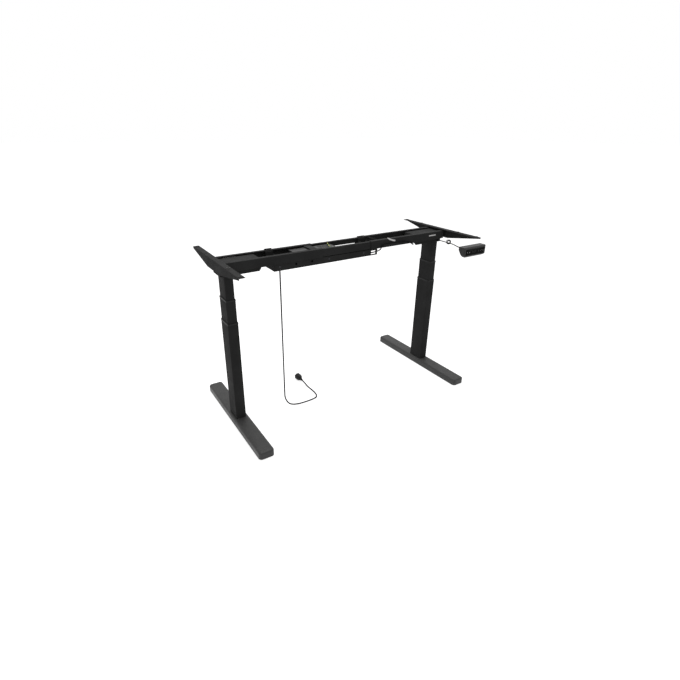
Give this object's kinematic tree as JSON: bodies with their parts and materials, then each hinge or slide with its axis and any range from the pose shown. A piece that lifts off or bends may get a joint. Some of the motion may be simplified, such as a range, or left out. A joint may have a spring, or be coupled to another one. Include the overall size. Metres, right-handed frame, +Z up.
{
  "type": "height adjustable standing desk frame",
  "caption": "Electric sit-stand desk frame: telescopic lifting columns on flat feet, joined by a width-adjustable beam with control box, mains lead and keypad handset.",
  "frame": {"origin": "middle of the footprint, on the floor", "axes": "+X along the desk to the user's right, +Y from the user towards the wall, +Z up"},
  "size_m": [1.362, 0.798, 0.872],
  "materials": {
    "black_powder_coat": "satin, fine texture",
    "foot_powder_coat": "satin, fine texture",
    "bright_steel": "drawn",
    "zinc_bolts": "black zinc",
    "bronze_nut": "machined",
    "nylon_glide": "satin",
    "rubber_pad": "matt",
    "motor_can": "semi gloss",
    "gear_housing": "cast, satin",
    "box_plastic": "fine grain",
    "board_green": "solder mask",
    "handset_plastic": "fine grain",
    "handset_window": "gloss film",
    "key_plastic": "satin",
    "mains_flex": "satin",
    "plug_plastic": "satin",
    "signal_flex": "satin",
    "earth_flex": "green and yellow"
  },
  "bodies": {
    "left_base": {"left_foot": "foot_powder_coat", "left_levelling_feet": "rubber_pad", "left_foot_bolts": "zinc_bolts", "left_outer_tube": "black_powder_coat", "left_outer_glides": "nylon_glide", "left_base_post": "bright_steel", "left_lower_nut": "bronze_nut"},
    "left_middle": {"left_middle_tube": "black_powder_coat", "left_middle_glides": "nylon_glide", "left_carrier_tube": "bright_steel", "left_upper_nut": "bronze_nut"},
    "left_hollow_screw": {"left_hollow_spindle": "bright_steel"},
    "left_head": {"left_inner_tube": "black_powder_coat", "left_gearbox": "gear_housing", "left_motor": "motor_can", "left_head_box": "black_powder_coat", "left_slide_rails": "black_powder_coat", "left_side_bracket": "black_powder_coat", "left_bracket_bolts": "zinc_bolts"},
    "left_screw": {"left_spindle": "bright_steel"},
    "right_base": {"right_foot": "foot_powder_coat", "right_levelling_feet": "rubber_pad", "right_foot_bolts": "zinc_bolts", "right_outer_tube": "black_powder_coat", "right_outer_glides": "nylon_glide", "right_base_post": "bright_steel", "right_lower_nut": "bronze_nut"},
    "right_middle": {"right_middle_tube": "black_powder_coat", "right_middle_glides": "nylon_glide", "right_carrier_tube": "bright_steel", "right_upper_nut": "bronze_nut"},
    "right_hollow_screw": {"right_hollow_spindle": "bright_steel"},
    "right_head": {"right_inner_tube": "black_powder_coat", "right_gearbox": "gear_housing", "right_motor": "motor_can", "right_head_box": "black_powder_coat", "right_slide_rails": "black_powder_coat", "right_side_bracket": "black_powder_coat", "right_bracket_bolts": "zinc_bolts", "handset_case": "handset_plastic", "handset_face": "handset_window", "handset_cable": "signal_flex"},
    "right_screw": {"right_spindle": "bright_steel"},
    "centre_frame": {"front_rail": "black_powder_coat", "rear_rail": "black_powder_coat", "cross_braces": "black_powder_coat", "cable_tray": "black_powder_coat", "frame_screws": "zinc_bolts", "control_box_case": "box_plastic", "circuit_board": "board_green", "control_box_lid": "box_plastic", "earth_wire": "earth_flex", "motor_cables": "signal_flex", "mains_lead": "mains_flex"},
    "plug": {"mains_plug": "plug_plastic"},
    "up_key": {"key_up": "key_plastic"},
    "down_key": {"key_down": "key_plastic"},
    "one_key": {"key_one": "key_plastic"},
    "two_key": {"key_two": "key_plastic"},
    "store_key": {"key_store": "key_plastic"}
  },
  "joints": [
    {"name": "lift", "type": "slide", "parent": "left_base", "child": "left_head", "axis": [0, 0, 1], "range_m": [-0.204, 0.446]},
    {"name": "left_middle_slide", "type": "slide", "parent": "left_base", "child": "left_middle", "axis": [0, 0, 1], "range_m": [-0.1025, 0.2235]},
    {"name": "left_screw_turn", "type": "hinge", "parent": "left_head", "child": "left_screw", "pos_m": [-0.625, 0.041, 0.6], "axis": [0, 0, 1], "range_deg": [-6130, 13390]},
    {"name": "left_hollow_turn", "type": "hinge", "parent": "left_middle", "child": "left_hollow_screw", "pos_m": [-0.625, 0.041, 0.45], "axis": [0, 0, 1], "range_deg": [-6130, 13390]},
    {"name": "left_width", "type": "slide", "parent": "left_head", "child": "centre_frame", "axis": [1, 0, 0], "range_m": [-0.034, 0.212], "deforming": ["motor_cables"]},
    {"name": "lead_slack", "type": "slide", "parent": "centre_frame", "child": "plug", "axis": [0, 0, 1], "range_m": [-0.447, 0.205], "deforming": ["mains_lead"]},
    {"name": "right_width", "type": "slide", "parent": "centre_frame", "child": "right_head", "axis": [1, 0, 0], "range_m": [-0.178, 0.028], "deforming": ["motor_cables"]},
    {"name": "right_middle_slide", "type": "slide", "parent": "right_head", "child": "right_middle", "axis": [0, 0, 1], "range_m": [-0.2235, 0.1025]},
    {"name": "right_base_slide", "type": "slide", "parent": "right_head", "child": "right_base", "axis": [0, 0, 1], "range_m": [-0.447, 0.205]},
    {"name": "right_screw_turn", "type": "hinge", "parent": "right_head", "child": "right_screw", "pos_m": [0.625, 0.041, 0.6], "axis": [0, 0, 1], "range_deg": [-6130, 13390]},
    {"name": "right_hollow_turn", "type": "hinge", "parent": "right_middle", "child": "right_hollow_screw", "pos_m": [0.625, 0.041, 0.45], "axis": [0, 0, 1], "range_deg": [-6130, 13390]},
    {"name": "press_up", "type": "slide", "parent": "right_head", "child": "up_key", "axis": [0, 1, 0], "range_m": [0, 0.001], "stiffness_N_per_m": 900, "springref_m": -0.0006},
    {"name": "press_down", "type": "slide", "parent": "right_head", "child": "down_key", "axis": [0, 1, 0], "range_m": [0, 0.001], "stiffness_N_per_m": 900, "springref_m": -0.0006},
    {"name": "press_one", "type": "slide", "parent": "right_head", "child": "one_key", "axis": [0, 1, 0], "range_m": [0, 0.001], "stiffness_N_per_m": 900, "springref_m": -0.0006},
    {"name": "press_two", "type": "slide", "parent": "right_head", "child": "two_key", "axis": [0, 1, 0], "range_m": [0, 0.001], "stiffness_N_per_m": 900, "springref_m": -0.0006},
    {"name": "press_store", "type": "slide", "parent": "right_head", "child": "store_key", "axis": [0, 1, 0], "range_m": [0, 0.001], "stiffness_N_per_m": 900, "springref_m": -0.0006}
  ],
  "couplings": [
    {"joint": "left_middle_slide", "follows": "lift", "ratio": 0.5},
    {"joint": "left_screw_turn", "follows": "lift", "rad_per_m": 523.6},
    {"joint": "left_hollow_turn", "follows": "lift", "rad_per_m": 523.6},
    {"joint": "lead_slack", "follows": "lift", "ratio": -1},
    {"joint": "right_middle_slide", "follows": "lift", "ratio": -0.5},
    {"joint": "right_base_slide", "follows": "lift", "ratio": -1},
    {"joint": "right_screw_turn", "follows": "lift", "rad_per_m": 523.6},
    {"joint": "right_hollow_turn", "follows": "lift", "rad_per_m": 523.6}
  ]
}
